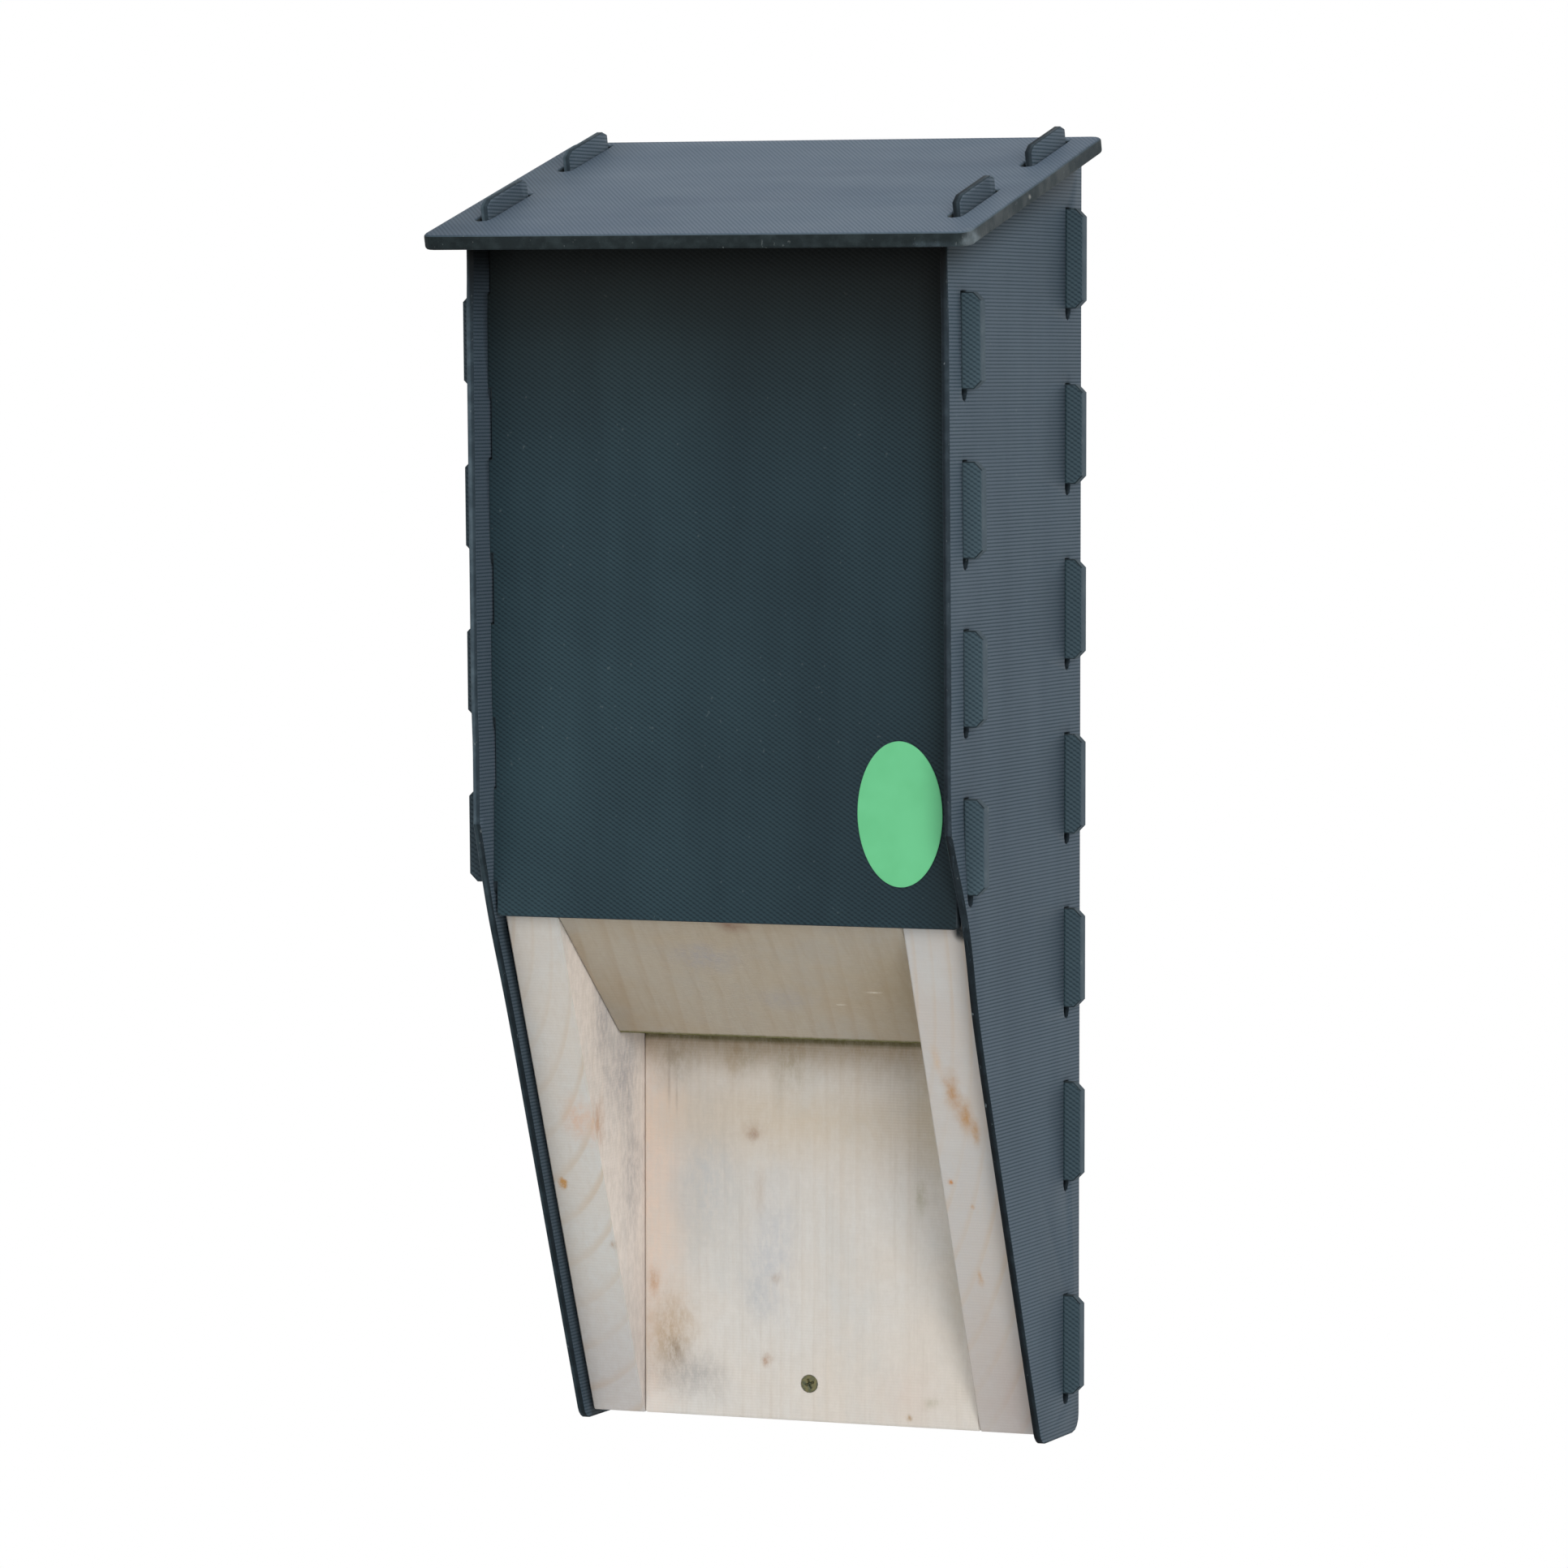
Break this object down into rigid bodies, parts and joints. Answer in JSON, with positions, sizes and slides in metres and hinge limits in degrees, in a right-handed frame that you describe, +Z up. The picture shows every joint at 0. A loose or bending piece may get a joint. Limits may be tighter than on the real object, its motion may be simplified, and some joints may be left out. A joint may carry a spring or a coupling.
{
  "type": "bat box",
  "caption": "Wall-hung bat box: tabbed recycled plastic sheets round a timber liner with crevices, a sloping roof and a landing board.",
  "frame": {"origin": "On the wall plane, in the middle of the width, level with the feet of the side sheets", "axes": "+X to the right seen from the front, +Y back into the wall, +Z up; the front faces -Y"},
  "size_m": [0.2276, 0.1654, 0.522],
  "materials": {
    "side_sheet": "fine ribbed recycled sheet, slate blue-grey",
    "front_sheet": "fine diagonal ribbed recycled sheet, dark teal grey",
    "roof_sheet": "fine diagonal ribbed recycled sheet, blue-grey",
    "timber": "untreated sawn softwood",
    "screw_zinc": "yellow zinc plated steel",
    "label_vinyl": "bare satin vinyl sticker"
  },
  "bodies": {
    "root": {"roof": "roof_sheet", "side_left": "side_sheet", "side_right": "side_sheet", "front_panel": "front_sheet", "back_panel": "front_sheet", "cheek_left": "timber", "cheek_right": "timber", "back_board": "timber", "front_board": "timber", "centre_baffle": "timber", "entrance_ramp": "timber", "label": "label_vinyl", "screw_back_low": "screw_zinc", "screw_back_high": "screw_zinc", "screw_back_board_low_left": "screw_zinc", "screw_back_board_mid_left": "screw_zinc", "screw_back_board_high_left": "screw_zinc", "screw_front_board_low_left": "screw_zinc", "screw_front_board_high_left": "screw_zinc", "screw_baffle_low_left": "screw_zinc", "screw_baffle_high_left": "screw_zinc", "screw_ramp_front_left": "screw_zinc", "screw_ramp_back_left": "screw_zinc", "screw_back_board_low_right": "screw_zinc", "screw_back_board_mid_right": "screw_zinc", "screw_back_board_high_right": "screw_zinc", "screw_front_board_low_right": "screw_zinc", "screw_front_board_high_right": "screw_zinc", "screw_baffle_low_right": "screw_zinc", "screw_baffle_high_right": "screw_zinc", "screw_ramp_front_right": "screw_zinc", "screw_ramp_back_right": "screw_zinc"}
  },
  "joints": []
}
